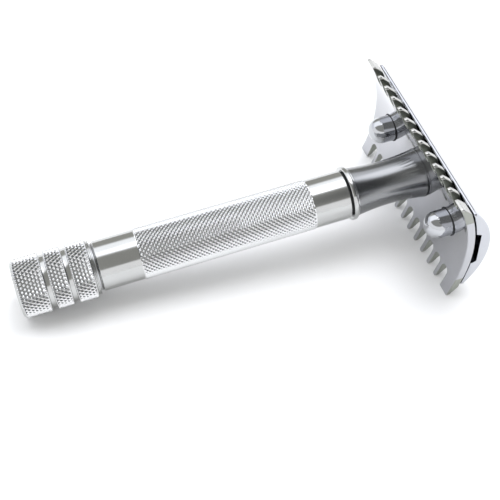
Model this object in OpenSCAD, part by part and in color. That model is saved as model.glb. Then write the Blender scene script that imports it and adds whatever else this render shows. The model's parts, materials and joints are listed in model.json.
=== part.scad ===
// Double-edge safety razor with open comb, two-piece head and twist knob, lying at rest
// on its lower comb row and its knob. Millimetres. The handle is drawn along +X, knob end
// face at s = 0 and head at large s, then tipped by the resting angle.

/* [Head] */
// Length of the comb plate and of the cap, along the blade
head_len = 41.5; // [36:0.5:50]
// Width of the comb plate over both rows of tips
comb_w = 25; // [23:0.5:30]
// Radius of the comb plate's hollow underside
plate_r = 31; // [26:0.5:40]
// Thickness of the comb plate
plate_t = 1.5; // [1.3:0.1:1.9]
// Thickness left at the bevelled comb tips
tip_t = 0.6; // [0.4:0.1:0.9]
// Width of the bevel behind each row of tips
tip_bevel = 1.8; // [1:0.1:2.4]
// Slots in each comb row
slot_count = 12; // [5:1:12]
// Distance between slot centres
slot_pitch = 3.06; // [2.4:0.02:3.1]
// Width of one slot
slot_w = 2; // [0.8:0.1:2.2]
// Depth of the slots, from the tips inward
slot_depth = 3.9; // [2:0.1:4.2]

/* [Cap] */
// Width of the cap
cap_w = 20.4; // [18:0.2:23]
// Height of the cap's crown above the comb plate
cap_h = 3.2; // [2.8:0.1:4.2]
// Height of the cap's long edge faces
cap_edge = 0.55; // [0.3:0.05:0.9]
// Space left for the blade between the cap and the comb plate
blade_gap = 0.25; // [0.15:0.05:0.4]
// Width of the notch under each end of the cap
notch_w = 7.6; // [5:0.2:9]
// Height of that notch
notch_h = 0.75; // [0.4:0.05:1]
// Length of that notch, along the blade
notch_len = 3; // [1.5:0.5:5]

/* [Guide pins and their sleeves] */
// Distance from the handle's axis to each guide pin
pin_offset = 13; // [11:0.5:16]
// Radius of a guide pin
pin_r = 1.8; // [1.4:0.1:2]
// Radial clearance of a guide pin in its sleeve
pin_play = 0.15; // [0.1:0.05:0.2]
// Wall of a pin sleeve
sleeve_wall = 0.66; // [0.5:0.02:0.9]
// How far a sleeve stands out of the comb plate
sleeve_h = 4.75; // [4.4:0.05:6]
// Height of the bead at a sleeve's foot
bead_h = 0.4; // [0.3:0.05:0.6]
// How far that bead stands proud of the sleeve
bead_out = 0.2; // [0.1:0.05:0.3]
// Depth of the seat that a sleeve stands in
sleeve_seat = 0.3; // [0.25:0.05:0.4]

/* [Neck] */
// Length of the neck below the comb plate
neck_len = 15.1; // [13:0.1:20]
// Radius of the neck's waist
waist_r = 4.2; // [4.1:0.05:4.5]
// Radius of both ends of the neck's hollow sweep
sweep_end_r = 4.75; // [4.6:0.05:5.1]
// Height of the lip against the comb plate
lip_h = 0.5; // [0.3:0.1:1]
// Depth of the seat that the lip stands in
neck_seat = 0.55; // [0.5:0.05:0.6]
// Radius of the ring at the neck's lower end
ring_r = 5.25; // [5.15:0.05:5.6]
// Thickness of that ring
ring_t = 0.8; // [0.5:0.1:1.5]
// Width of the shadow groove between ring and barrel
groove_w = 0.4; // [0.2:0.1:0.8]
// Depth of that groove below the barrel's face
groove_d = 0.45; // [0.3:0.05:0.6]
// Length of the neck's spigot inside the barrel
spigot_len = 5; // [4:0.5:6]

/* [Barrel] */
// Radius of the plain barrel
barrel_r = 4.73; // [4.65:0.01:5]
// Plain length between the neck and the knurl
head_plain = 7.1; // [6.5:0.1:12]
// Length of the knurled grip
grip_len = 33.5; // [15:0.1:60]
// Plain length between the knurl and the knob
tail_plain = 7.9; // [7:0.1:14]
// How far the knurl stands proud of the barrel
grip_out = 0.1; // [0.05:0.05:0.2]
// Edge bevel at both ends of the barrel
barrel_bevel = 0.35; // [0.1:0.05:0.5]
// Radius of the barrel's through bore
barrel_bore = 3.5; // [3.3:0.05:3.6]

/* [Knob] */
// Radius of the knob's bands
knob_r = 5.5; // [5.3:0.05:6.5]
// Length of the end band
band_end = 5.3; // [4.5:0.1:8]
// Length of the middle band
band_mid = 3.1; // [2:0.1:5]
// Length of the band next to the collar
band_top = 3.7; // [2:0.1:5]
// Width of the grooves between the bands
knob_groove_w = 0.9; // [0.5:0.1:1.5]
// Depth of those grooves
knob_groove_d = 0.5; // [0.3:0.05:0.7]
// Edge bevel of the knob's end
knob_bevel = 0.45; // [0.2:0.05:0.6]
// Thickness of the knob's collar
collar_t = 0.6; // [0.4:0.05:1]
// Radius of the knob's collar
collar_r = 5.1; // [4.8:0.05:5.2]
// Thickness of the thrust washer
washer_t = 0.25; // [0.2:0.05:0.5]
// Radius of the thrust washer
washer_r = 4.5; // [4:0.1:4.6]
// Radius of the plug in the knob's end
plug_r = 3.6; // [3.4:0.1:4]
// Thickness of that plug
plug_t = 1.1; // [0.8:0.1:1.4]

/* [Screw drive] */
// Radius of the cap's threaded stud, over its crests
stud_r = 2.4; // [2.2:0.05:2.45]
// Radius of the spindle
spindle_r = 2; // [1.8:0.05:2.1]
// Outer radius of the draw nut
nut_r = 3.1; // [2.9:0.05:3.1]
// Running clearance of turning pieces, all round
run_gap = 0.05; // [0.03:0.01:0.08]
// Fixing clearance between pieces of one body
fix_gap = 0.02; // [0.01:0.01:0.03]
// Length of the draw nut's socket for the spindle
nut_socket = 3; // [2.5:0.1:4]
// Radius of the cross pin through nut and spindle
cross_r = 0.5; // [0.3:0.05:0.6]
// Thickness of the tension washer under the draw nut
tension_t = 0.3; // [0.2:0.05:0.5]
// Length of the lower bush
end_bush_len = 6; // [4:0.5:7]
// Shank radius of the screw that holds the knob
screw_r = 1.2; // [0.9:0.05:1.3]
// Head radius of that screw
screw_head_r = 2.5; // [2.1:0.05:2.7]
// Head thickness of that screw
screw_head_t = 1.3; // [1:0.1:1.5]
// Length of that screw below its head
screw_len = 5.5; // [4:0.5:7]

/* [Hidden] */
chrome = [0.83, 0.84, 0.86];
dark_chrome = [0.62, 0.64, 0.67];
steel = [0.7, 0.71, 0.73];
brass = [0.78, 0.66, 0.38];
fine = 96;
over = 1;                       // how far a cutting shape runs past what it cuts

// Stations along the handle, from the knob's end face
s_band_mid = band_end + knob_groove_w;
s_band_top = s_band_mid + band_mid + knob_groove_w;
s_collar = s_band_top + band_top;
s_washer = s_collar + collar_t;
s_barrel = s_washer + washer_t + run_gap;
s_grip = s_barrel + tail_plain;
s_grip_end = s_grip + grip_len;
s_barrel_end = s_grip_end + head_plain;
s_ring = s_barrel_end + groove_w;
s_under = s_ring + neck_len;    // crown of the comb plate's underside

// The head's arcs share one centre line, parallel to the blade
s_arc = s_under - plate_r;
top_r = plate_r + plate_t;
seat_r = top_r + blade_gap;
s_top = s_arc + top_r;
s_seat = s_arc + seat_r;
s_crown = s_top + cap_h;
s_cap_edge = s_arc + arc_at(seat_r, cap_w / 2) + cap_edge;
crown_rise = s_crown - s_cap_edge;
crown_r = (crown_rise * crown_rise + cap_w * cap_w / 4) / (2 * crown_rise);
s_crown_centre = s_crown - crown_r;
s_tip = s_arc + arc_at(plate_r, comb_w / 2);

// Guide pins and sleeves
sleeve_bore = pin_r + pin_play;
sleeve_r = sleeve_bore + sleeve_wall;
s_sleeve_foot = s_under + sleeve_seat;
s_sleeve_tip = s_under - sleeve_h;
s_sleeve_bottom = s_sleeve_tip + 2 * sleeve_wall;
pin_end_gap = 0.35;
s_pin_end = s_sleeve_bottom + pin_end_gap;
pin_root = 1.2;                 // how deep a guide pin is fixed in the cap
pin_chamfer = 0.4;

// Neck and its bores
s_neck_foot = s_under + neck_seat;
s_lip = s_under - lip_h;
s_sweep = s_ring + ring_t;
sweep_half = (s_lip - s_sweep) / 2;
sweep_depth = sweep_end_r - waist_r;
sweep_r = (sweep_half * sweep_half + sweep_depth * sweep_depth) / (2 * sweep_depth);
neck_bore = nut_r + 2 * run_gap;
throat_play = 0.15;             // radial clearance of the stud in the neck's foot
throat_r = stud_r + throat_play;
spout_wall = 0.75;              // wall of the tube that passes through the comb plate
spout_r = throat_r + spout_wall;
spout_back = 0.25;              // how far that tube stays below the plate's top
neck_foot_t = 0.7;              // floor of the neck below the plate's underside
s_shoulder = s_under - neck_foot_t;
barrel_wall = 0.85;             // wall of the barrel round the neck's spigot
spigot_r = barrel_r - barrel_wall;
groove_r = barrel_r - groove_d;

// Screw drive
s_spigot_end = s_barrel_end - spigot_len;
bush_back = 0.3;                // how far the upper bush stays below the barrel's end
s_bush_end = s_barrel_end - bush_back;
s_nut = s_bush_end + tension_t + 2 * run_gap;
nut_gap = 0.25;                 // room between the draw nut and the neck's floor
s_nut_end = s_shoulder - nut_gap;
s_socket_end = s_nut + nut_socket;
stud_reach = 2.2;               // how far the stud stays above the spindle's socket
s_stud_end = s_socket_end + stud_reach;
stud_root = 1.6;                // how deep the stud is fixed in the cap
nut_bore = stud_r + run_gap;
cross_half = nut_r - run_gap;
s_cross = s_nut + nut_socket / 2;
plug_gap = 0.4;                 // room between the end plug and the screw's head
screw_play = 0.15;              // radial clearance of the screw in the knob
s_screw_seat = plug_t + fix_gap + plug_gap + screw_head_t;
knob_wall_t = 1;                // web of the knob between screw head and spindle
s_spindle = s_screw_seat + knob_wall_t;

// Resting place: both the knob's edge and the lower comb tips touch Z = 0
tilt = atan((comb_w / 2 - knob_r) / (s_tip - knob_bevel));
z_rest = knob_r * cos(tilt) - knob_bevel * sin(tilt);
x_high = s_crown_centre * cos(tilt) + crown_r;
x_low = -(knob_r - knob_bevel) * sin(tilt);
x_mid = (x_high + x_low) / 2;

// Half chord to height: how far an arc of radius r reaches at distance z from its crown
function arc_at(r, z) = sqrt(r * r - z * z);

// Puts a piece that is drawn along the handle into its resting place
module at_rest() {
    translate([-x_mid, 0, z_rest]) rotate([0, -tilt, 0]) children();
}

// Turns a half profile, drawn as [radius, station], round the handle's axis
module turned() {
    rotate([0, 90, 0]) rotate_extrude($fn = fine) children();
}

// Tube from station s0 to station s1
module tube(r_out, r_in, s0, s1) {
    turned() translate([r_in, s0]) square([r_out - r_in, s1 - s0]);
}

// Solid round bar from station s0 to station s1, used for bores too
module bar(r, s0, s1) {
    translate([s0, 0, 0]) rotate([0, 90, 0]) cylinder(h = s1 - s0, r = r, $fn = fine);
}

// Extrudes a section, drawn as [station, height], along the blade
module along_blade(length) {
    rotate([90, 0, 0]) linear_extrude(height = length, center = true) children();
}

// Area between two arcs of the head, as wide as given
module arc_band(r_in, r_out, width) {
    intersection() {
        translate([s_arc, 0]) difference() {
            circle(r = r_out, $fn = fine);
            circle(r = r_in, $fn = fine);
        }
        translate([s_arc, -width / 2]) square([r_out + over, width]);
    }
}

// Section of the comb plate, with the bevels behind its tips
module plate_section() {
    z_bevel = comb_w / 2 - tip_bevel;
    s_bevel = s_arc + arc_at(top_r, z_bevel);
    s_out = s_top + over;
    difference() {
        arc_band(plate_r, top_r, comb_w);
        for (side = [-1, 1])
            polygon([[s_bevel, side * z_bevel],
                     [s_tip + tip_t, side * comb_w / 2],
                     [s_tip + tip_t, side * (comb_w / 2 + over)],
                     [s_out, side * (comb_w / 2 + over)],
                     [s_out, side * z_bevel]]);
    }
}

// Cutting shape of one comb slot, open at the tips and round at its root
module slot() {
    z_root = comb_w / 2 - slot_depth + slot_w / 2;
    depth = s_top - s_tip + 2 * over;
    translate([s_tip - over, 0, z_root]) {
        translate([0, -slot_w / 2, 0]) cube([depth, slot_w, slot_depth + over]);
        rotate([0, 90, 0]) cylinder(h = depth, d = slot_w, $fn = 48);
    }
}

// Both rows of comb slots
module comb_slots() {
    for (side = [0, 1], i = [0 : slot_count - 1])
        mirror([0, 0, side])
            translate([0, (i - (slot_count - 1) / 2) * slot_pitch, 0]) slot();
}

// Comb plate with its rows of teeth, seats and holes
module base_plate() {
    color(chrome) at_rest() difference() {
        along_blade(head_len) plate_section();
        comb_slots();
        bar(sweep_end_r + fix_gap, s_under - over, s_neck_foot);
        bar(spout_r + fix_gap, s_under, s_top + over);
        for (side = [-1, 1]) translate([0, side * pin_offset, 0]) {
            bar(sleeve_r + bead_out + fix_gap, s_under - over, s_sleeve_foot);
            bar(sleeve_bore, s_under, s_top + over);
        }
    }
}

// Section of the cap: domed outside, hollow inside, flat long edges
module cap_section() {
    intersection() {
        translate([s_crown_centre, 0]) circle(r = crown_r, $fn = fine);
        translate([s_arc, -cap_w / 2]) square([s_crown - s_arc + over, cap_w]);
    }
}

// Domed cap with a notch under each end and holes for stud and pins
module top_cap() {
    s_notch = s_seat + notch_h;
    flare = notch_h / 2;
    color(chrome) at_rest() difference() {
        along_blade(head_len) difference() {
            cap_section();
            translate([s_arc, 0]) circle(r = seat_r, $fn = fine);
        }
        for (side = [-1, 1]) translate([0, side * head_len / 2, 0])
            along_blade(2 * notch_len)
                polygon([[s_arc, -notch_w / 2 - flare], [s_seat, -notch_w / 2 - flare],
                         [s_notch, -notch_w / 2], [s_notch, notch_w / 2],
                         [s_seat, notch_w / 2 + flare], [s_arc, notch_w / 2 + flare]]);
        bar(stud_r + fix_gap, s_arc, s_seat + stud_root);
        for (side = [-1, 1]) translate([0, side * pin_offset, 0])
            bar(pin_r + fix_gap, s_arc, s_seat + pin_root);
    }
}

// Threaded stud of the cap; the plain bar has the radius of the thread's crests
module cap_stud() {
    color(steel) at_rest() turned()
        polygon([[0, s_stud_end], [stud_r - pin_chamfer, s_stud_end],
                 [stud_r, s_stud_end + pin_chamfer], [stud_r, s_seat + stud_root],
                 [0, s_seat + stud_root]]);
}

// Guide pin that lines up the blade and keeps the cap from turning
module guide_pin(side) {
    color(steel) at_rest() translate([0, side * pin_offset, 0]) turned()
        polygon([[0, s_pin_end], [pin_r - pin_chamfer, s_pin_end],
                 [pin_r, s_pin_end + pin_chamfer], [pin_r, s_seat + pin_root],
                 [0, s_seat + pin_root]]);
}

module guide_pin_left() guide_pin(1);
module guide_pin_right() guide_pin(-1);

// Domed sleeve that closes over a guide pin under the comb plate
module pin_sleeve(side) {
    color(dark_chrome) at_rest() translate([0, side * pin_offset, 0]) difference() {
        turned() {
            intersection() {
                translate([0, s_sleeve_tip + sleeve_r]) circle(r = sleeve_r, $fn = fine);
                translate([0, s_sleeve_tip]) square([sleeve_r, sleeve_r]);
            }
            translate([0, s_sleeve_tip + sleeve_r])
                square([sleeve_r, s_sleeve_foot - s_sleeve_tip - sleeve_r]);
            translate([0, s_under - bead_h])
                square([sleeve_r + bead_out, bead_h + sleeve_seat]);
        }
        bar(sleeve_bore, s_sleeve_bottom, s_sleeve_foot + over);
    }
}

module pin_sleeve_left() pin_sleeve(1);
module pin_sleeve_right() pin_sleeve(-1);

// Waisted neck with its lip, its ring, its spigot and the tube through the comb plate
module neck() {
    color(dark_chrome) at_rest() difference() {
        turned() {
            difference() {
                translate([0, s_sweep]) square([sweep_end_r, s_neck_foot - s_sweep]);
                translate([waist_r + sweep_r, s_sweep + sweep_half])
                    circle(r = sweep_r, $fn = 2 * fine);
            }
            translate([0, s_ring]) square([ring_r, ring_t]);
            translate([0, s_barrel_end]) square([groove_r, groove_w]);
            translate([0, s_spigot_end]) square([spigot_r, spigot_len]);
            translate([0, s_neck_foot]) square([spout_r, s_top - spout_back - s_neck_foot]);
        }
        bar(neck_bore, s_spigot_end - over, s_shoulder);
        bar(throat_r, s_under - 2 * over, s_top + over);
    }
}

// Tubular barrel with the knurled grip's outline
module barrel() {
    b = barrel_bevel;
    color(chrome) at_rest() difference() {
        turned() {
            polygon([[0, s_barrel], [barrel_r - b, s_barrel], [barrel_r, s_barrel + b],
                     [barrel_r, s_barrel_end - b], [barrel_r - b, s_barrel_end],
                     [0, s_barrel_end]]);
            translate([0, s_grip]) square([barrel_r + grip_out, grip_len]);
        }
        bar(barrel_bore, s_barrel - over, s_barrel_end + over);
        bar(spigot_r + fix_gap, s_spigot_end - fix_gap, s_barrel_end + over);
    }
}

// Bush that guides the spindle inside the neck's spigot
module head_bush() {
    color(brass) at_rest()
        tube(neck_bore - fix_gap, spindle_r + run_gap, s_spigot_end, s_bush_end);
}

// Bush that guides the spindle at the barrel's tail
module end_bush() {
    color(brass) at_rest()
        tube(barrel_bore - fix_gap, spindle_r + run_gap, s_barrel, s_barrel + end_bush_len);
}

// Twist knob: three bands with grooves between them, hollow for screw, plug and spindle
module knob() {
    core_r = knob_r - knob_groove_d;
    color(chrome) at_rest() difference() {
        turned() {
            translate([0, knob_bevel]) square([core_r, s_collar - knob_bevel]);
            polygon([[0, 0], [knob_r - knob_bevel, 0], [knob_r, knob_bevel],
                     [knob_r, band_end], [0, band_end]]);
            translate([0, s_band_mid]) square([knob_r, band_mid]);
            translate([0, s_band_top]) square([knob_r, band_top]);
        }
        bar(plug_r + fix_gap, -over, plug_t + fix_gap);
        bar(screw_head_r + screw_play, 0, s_screw_seat);
        bar(screw_r + screw_play, 0, s_spindle + over);
        bar(spindle_r + fix_gap, s_spindle, s_collar + over);
    }
}

// Bright collar between the knob's bands and the barrel
module knob_collar() {
    color(chrome) at_rest() tube(collar_r, spindle_r + fix_gap, s_collar, s_washer);
}

// Washer that takes the knob's thrust against the barrel
module thrust_washer() {
    color(steel) at_rest() tube(washer_r, spindle_r + fix_gap, s_washer, s_washer + washer_t);
}

// Flat plug that closes the knob's end
module end_plug() {
    edge = 0.15;
    color(chrome) at_rest() turned()
        polygon([[0, 0], [plug_r - edge, 0], [plug_r, edge], [plug_r, plug_t], [0, plug_t]]);
}

// Slotted screw that holds the knob on the spindle
module knob_screw() {
    s_head = s_screw_seat - screw_head_t;
    color(steel) at_rest() difference() {
        union() {
            bar(screw_head_r, s_head, s_screw_seat);
            bar(screw_r, s_screw_seat - over / 2, s_screw_seat + screw_len);
        }
        translate([s_head - over, -screw_head_r - over, -screw_r / 4])
            cube([over + screw_head_t / 3, 2 * (screw_head_r + over), screw_r / 2]);
    }
}

// Spindle that carries the knob's turn through the barrel to the draw nut
module spindle() {
    color(steel) at_rest() difference() {
        bar(spindle_r, s_spindle, s_socket_end);
        bar(screw_r + fix_gap, s_spindle - over, s_screw_seat + screw_len + 2 * fix_gap);
        translate([s_cross, 0, 0])
            cylinder(h = 2 * (nut_r + over), r = cross_r + fix_gap, center = true, $fn = 48);
    }
}

// Draw nut: takes the cap's stud above and the spindle below
module draw_nut() {
    color(brass) at_rest() difference() {
        bar(nut_r, s_nut, s_nut_end);
        bar(nut_bore, s_socket_end, s_nut_end + over);
        bar(spindle_r + fix_gap, s_nut - over, s_socket_end + over / 2);
        translate([s_cross, 0, 0])
            cylinder(h = 2 * (nut_r + over), r = cross_r + fix_gap, center = true, $fn = 48);
    }
}

// Cross pin that ties the draw nut to the spindle
module nut_pin() {
    color(steel) at_rest() translate([s_cross, 0, 0])
        cylinder(h = 2 * cross_half, r = cross_r, center = true, $fn = 48);
}

// Washer under the draw nut that keeps the knob from rattling
module tension_washer() {
    color(steel) at_rest()
        tube(nut_r - 2 * run_gap, spindle_r + fix_gap, s_nut - tension_t, s_nut);
}

top_cap();
cap_stud();
guide_pin_left();
guide_pin_right();
base_plate();
pin_sleeve_left();
pin_sleeve_right();
neck();
barrel();
head_bush();
end_bush();
knob();
knob_collar();
thrust_washer();
end_plug();
knob_screw();
spindle();
draw_nut();
nut_pin();
tension_washer();
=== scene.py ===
"""Safety razor: finished surfaces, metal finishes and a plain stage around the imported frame."""
import json
import math

import bmesh
import bpy
import numpy as np
from bpy.props import FloatProperty, FloatVectorProperty, IntProperty, PointerProperty
from mathutils import Matrix


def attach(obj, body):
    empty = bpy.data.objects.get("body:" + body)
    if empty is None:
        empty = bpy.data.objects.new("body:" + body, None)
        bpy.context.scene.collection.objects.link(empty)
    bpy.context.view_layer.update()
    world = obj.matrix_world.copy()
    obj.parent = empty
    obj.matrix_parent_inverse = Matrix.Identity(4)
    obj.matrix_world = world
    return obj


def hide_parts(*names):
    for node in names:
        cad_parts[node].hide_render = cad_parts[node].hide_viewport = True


bl_info = {
    "name": "Safety Razor Maker",
    "version": (1, 0, 0),
    "blender": (4, 5, 0),
    "location": "View3D > Sidebar > Razor",
    "description": "Makes the finished surfaces of an open comb safety razor",
    "category": "Add Mesh",
}

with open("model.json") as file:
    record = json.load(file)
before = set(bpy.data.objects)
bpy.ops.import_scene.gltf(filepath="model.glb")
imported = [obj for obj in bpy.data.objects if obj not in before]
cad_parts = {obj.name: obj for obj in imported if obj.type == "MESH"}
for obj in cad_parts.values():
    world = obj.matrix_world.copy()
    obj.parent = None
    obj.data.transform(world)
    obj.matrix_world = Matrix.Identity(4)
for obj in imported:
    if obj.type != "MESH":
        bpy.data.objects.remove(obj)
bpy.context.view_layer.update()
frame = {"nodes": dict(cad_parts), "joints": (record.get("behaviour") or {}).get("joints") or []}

MM = 0.001
WELD = 1e-4 * MM                 # points closer than this become one
SMOOTH_BELOW = math.radians(48)  # edges flatter than this are shaded smooth
SIDES = (-1, 1)
CELLS = 6                        # cells across one tooth
FIT = 0.02 * MM                  # gap between pieces that are pressed or screwed together
PIN_PLAY = 0.15 * MM             # gap between a guide pin and its bore
SOFT = 0.15 * MM                 # rounding of a turned edge
HANDLING = (260, 260, 260)       # handling marks in a metal's tone, per metre
SMEARS = (900, 2600, 2600)       # longer marks in its roughness, per metre
POLISH = (5000, 5000, 5000)      # polish grain, per metre
TURNING = (9000, 300, 300)       # turning marks across the handle, per metre


# ---------------------------------------------------------------- handle coordinates

def mesh_points(node):
    """All vertices of a CAD node, as an array of points in metres."""
    vertices = frame["nodes"][node].data.vertices
    points = np.empty(len(vertices) * 3)
    vertices.foreach_get("co", points)
    return points.reshape(-1, 3)


def handle_axes():
    """Origin on the knob's end face, and unit directions along the handle, along the blade and up."""
    joints = {joint["name"]: joint for joint in frame["joints"]}
    along = np.array(joints["cap_lift"]["axis"], float)
    along /= np.linalg.norm(along)
    blade = np.array([0.0, 1.0, 0.0])
    rise = np.cross(along, blade)
    on_axis = np.array(joints["knob_turn"]["pos_m"], float)
    end_face = ((mesh_points("knob") - on_axis) @ along).min()
    return on_axis + along * end_face, along, blade, rise


ORIGIN, ALONG, BLADE, RISE = handle_axes()


def place(s, y, u):
    """Points in metres from their station along the handle, place along the blade and height."""
    s, y, u = (a[..., None] for a in np.broadcast_arrays(s, y, u))
    return ORIGIN + s * ALONG + y * BLADE + u * RISE


def handle_points(node):
    """Stations, places along the blade and heights of a CAD node's vertices."""
    from_origin = mesh_points(node) - ORIGIN
    return from_origin @ ALONG, from_origin @ BLADE, from_origin @ RISE


def span(node):
    """Lowest and highest station of a CAD node."""
    s = handle_points(node)[0]
    return float(s.min()), float(s.max())


def radius(node, centre=0.0):
    """Largest distance of a CAD node's vertices from an axis along the handle."""
    _, y, u = handle_points(node)
    return float(np.hypot(y - centre, u).max())


# ---------------------------------------------------------------- sizes a user may change

def length(name, description, millimetres, low=0.01, high=100):
    """A length property, given in millimetres and held in metres."""
    return FloatProperty(name=name, description=description, default=millimetres * MM,
                         min=low * MM, max=high * MM, precision=5, unit="LENGTH")


def amount(name, description, default, low=0.0, high=1.0):
    """A plain number property."""
    return FloatProperty(name=name, description=description, default=default, min=low, max=high)


def tint(name, description, default):
    """A colour property."""
    return FloatVectorProperty(name=name, description=description, default=default, size=3,
                               min=0, max=1, subtype="COLOR")


class RazorHeadSizes(bpy.types.PropertyGroup):
    plate_radius: length("Plate radius", "Radius of the comb plate's hollow underside", 31)
    plate_thickness: length("Plate thickness", "Thickness of the comb plate", 1.5)
    tip_thickness: length("Tip thickness", "Thickness of the comb's tips", 0.6)
    tip_bevel: length("Tip bevel", "Width of the bevel behind the tips", 1.8)
    slot_count: IntProperty(name="Slots", description="Slots in each comb row", default=12, min=3)
    slot_pitch: length("Slot pitch", "Distance between slot centres", 3.06)
    slot_width: length("Slot width", "Width of one slot", 2)
    slot_depth: length("Slot depth", "Depth of a slot from the tips", 3.9)
    tooth_round: length("Tooth rounding", "Radius of the tooth tips' corners", 0.42)
    corner_round: length("Corner rounding", "Radius of the four outer teeth's corners", 0.3)
    plate_edge: length("Plate edge", "Radius that breaks the comb plate's edges", 0.13)
    blade_gap: length("Blade gap", "Room for the blade under the cap", 0.25)
    cap_edge: length("Cap edge", "Height of the cap's long edge faces", 0.55)
    cap_round: length("Cap rounding", "Radius that breaks the cap's end edges", 0.32)
    cap_ledge: length("Cap ledge", "Step between the cap's edge faces and its dome", 0.12)
    cap_ledge_end: length("Ledge end", "Where the step runs out before the cap's ends", 0.9)
    notch_width: length("Notch width", "Width of the notch under each end of the cap", 7.6)
    notch_height: length("Notch height", "Height of that notch", 0.75)
    notch_length: length("Notch length", "Length of that notch along the blade", 3)
    sleeve_wall: length("Sleeve wall", "Wall of a guide pin's sleeve", 0.66)
    bead_height: length("Bead height", "Height of the bead at a sleeve's foot", 0.17)
    bead_out: length("Bead", "How far the bead stands proud of the sleeve", 0.2)
    neck_seat_radius: length("Neck seat", "Radius of the plate's seat for the neck", 4.77)
    spout_seat_radius: length("Spout hole", "Radius of the plate's hole for the neck's tube", 3.32)


class RazorHandleSizes(bpy.types.PropertyGroup):
    lip_height: length("Lip", "Height of the neck's lip", 0.5)
    sweep_radius: length("Sweep ends", "Radius at both ends of the neck's sweep", 4.75)
    waist_radius: length("Waist", "Radius of the neck's waist", 4.2)
    ring_radius: length("Ring radius", "Radius of the neck's ring", 5.25)
    ring_height: length("Ring height", "Length of that ring", 0.8)
    groove_radius: length("Groove radius", "Radius in the shadow groove under the ring", 4.28)
    groove_width: length("Groove width", "Width of that groove", 0.4)
    spigot_radius: length("Spigot radius", "Radius of the neck's spigot in the barrel", 3.88)
    neck_bore: length("Neck bore", "Radius of the neck's bore", 3.2)
    throat: length("Throat", "Radius of the stud's way through the neck", 2.55)
    spout_radius: length("Spout", "Radius of the neck's tube through the plate", 3.3)
    barrel_radius: length("Barrel radius", "Radius of the plain barrel", 4.73)
    barrel_bevel: length("Barrel bevel", "Edge bevel of the barrel", 0.35)
    barrel_bore: length("Barrel bore", "Radius of the barrel's bore", 3.5)
    head_plain: length("Head plain", "Plain length between neck and knurl", 7.1)
    tail_plain: length("Tail plain", "Plain length between knurl and knob", 7.9)
    grip_starts: IntProperty(name="Grip starts", description="Grooves of each hand on the grip",
                             default=33, min=12)
    grip_pitch: length("Grip pitch", "Pitch of the grip's knurl along the handle", 0.868)
    grip_depth: length("Grip depth", "Depth of the grip's knurl", 0.24)
    knob_starts: IntProperty(name="Knob starts", description="Grooves of each hand on the knob",
                             default=42, min=12)
    knob_pitch: length("Knob pitch", "Pitch of the knob's knurl along the handle", 1.235)
    knob_depth: length("Knob depth", "Depth of the knob's knurl", 0.3)
    band_end: length("End band", "Length of the knob's end band", 5.3)
    band_middle: length("Middle band", "Length of the knob's middle band", 3.1)
    knob_groove: length("Knob groove", "Width of the grooves between the bands", 0.9)
    knob_groove_depth: length("Groove depth", "Depth of those grooves", 0.5)
    knob_bevel: length("Knob bevel", "Edge bevel of the knob's end", 0.45)
    thread_pitch: length("Thread pitch", "Pitch of the stud's thread", 0.8)
    thread_depth: length("Thread depth", "Depth of the stud's thread", 0.42)


class RazorFinishes(bpy.types.PropertyGroup):
    mirror_tint: tint("Mirror chrome", "Colour of the mirror-polished plate", (0.47, 0.475, 0.5))
    cap_tint: tint("Cap chrome", "Colour of the cap's chrome", (0.53, 0.54, 0.575))
    bevel_tint: tint("Ground bevels", "Colour of the comb's ground bevels", (0.5, 0.5, 0.48))
    # darker than the plate's chrome: painted shade in the narrow slots
    slot_shade_tint: tint("Slot walls", "Colour of the walls of the slots", (0.32, 0.33, 0.3))
    sleeve_tint: tint("Sleeve chrome", "Colour of the pin sleeves", (0.5, 0.51, 0.53))
    neck_tint: tint("Neck chrome", "Colour of the turned neck", (0.25, 0.254, 0.26))
    grip_tint: tint("Grip chrome", "Colour of the knurled parts", (0.73, 0.735, 0.74))
    plain_tint: tint("Plain chrome", "Colour of the handle's plain zones", (0.52, 0.525, 0.52))
    # painted shade: tone of the black finish that stands in for shade in seams, gaps and grooves
    painted_shade_tint: tint("Seam", "Colour of the dark seams", (0.02, 0.021, 0.023))
    steel_tint: tint("Steel", "Colour of turned steel", (0.62, 0.63, 0.64))
    brass_tint: tint("Brass", "Colour of turned brass", (0.72, 0.52, 0.24))
    mirror_roughness: amount("Mirror roughness", "Roughness of the mirror chrome", 0.05)
    neck_roughness: amount("Neck roughness", "Roughness of the turned neck", 0.17)
    grip_roughness: amount("Grip roughness", "Roughness of the knurled parts", 0.13)


class RazorStage(bpy.types.PropertyGroup):
    azimuth: FloatProperty(name="Azimuth", description="Camera's turn about the vertical",
                           default=math.radians(-21.78), subtype="ANGLE")
    elevation: FloatProperty(name="Elevation", description="Camera's height above the horizon",
                             default=math.radians(50.47), subtype="ANGLE")
    roll: FloatProperty(name="Roll", description="Camera's turn about its own view",
                        default=math.radians(-3.83), subtype="ANGLE")
    distance: length("Distance", "Camera's distance from its target", 187.5, 50, 1000)
    target_x: length("Target X", "Camera's target", 0.84, -100)
    target_y: length("Target Y", "Camera's target", -6.12, -100)
    target_z: length("Target Z", "Camera's target", 9.0, -100)
    lens: FloatProperty(name="Lens", description="Focal length, in millimetres", default=73.47,
                        min=20, max=200)
    key_power: amount("Key power", "Power of the soft key light, in watts", 1.7, 0, 100)
    sky_strength: amount("Sky strength", "Strength of the white surroundings", 1.0, 0, 10)
    fill_strength: amount("Fill strength", "Strength of the surroundings' light on the floor",
                          1.5, 0, 10)
    floor_tint: tint("Floor", "Colour of the floor", (0.86, 0.86, 0.86))


# ---------------------------------------------------------------- surfaces

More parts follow.
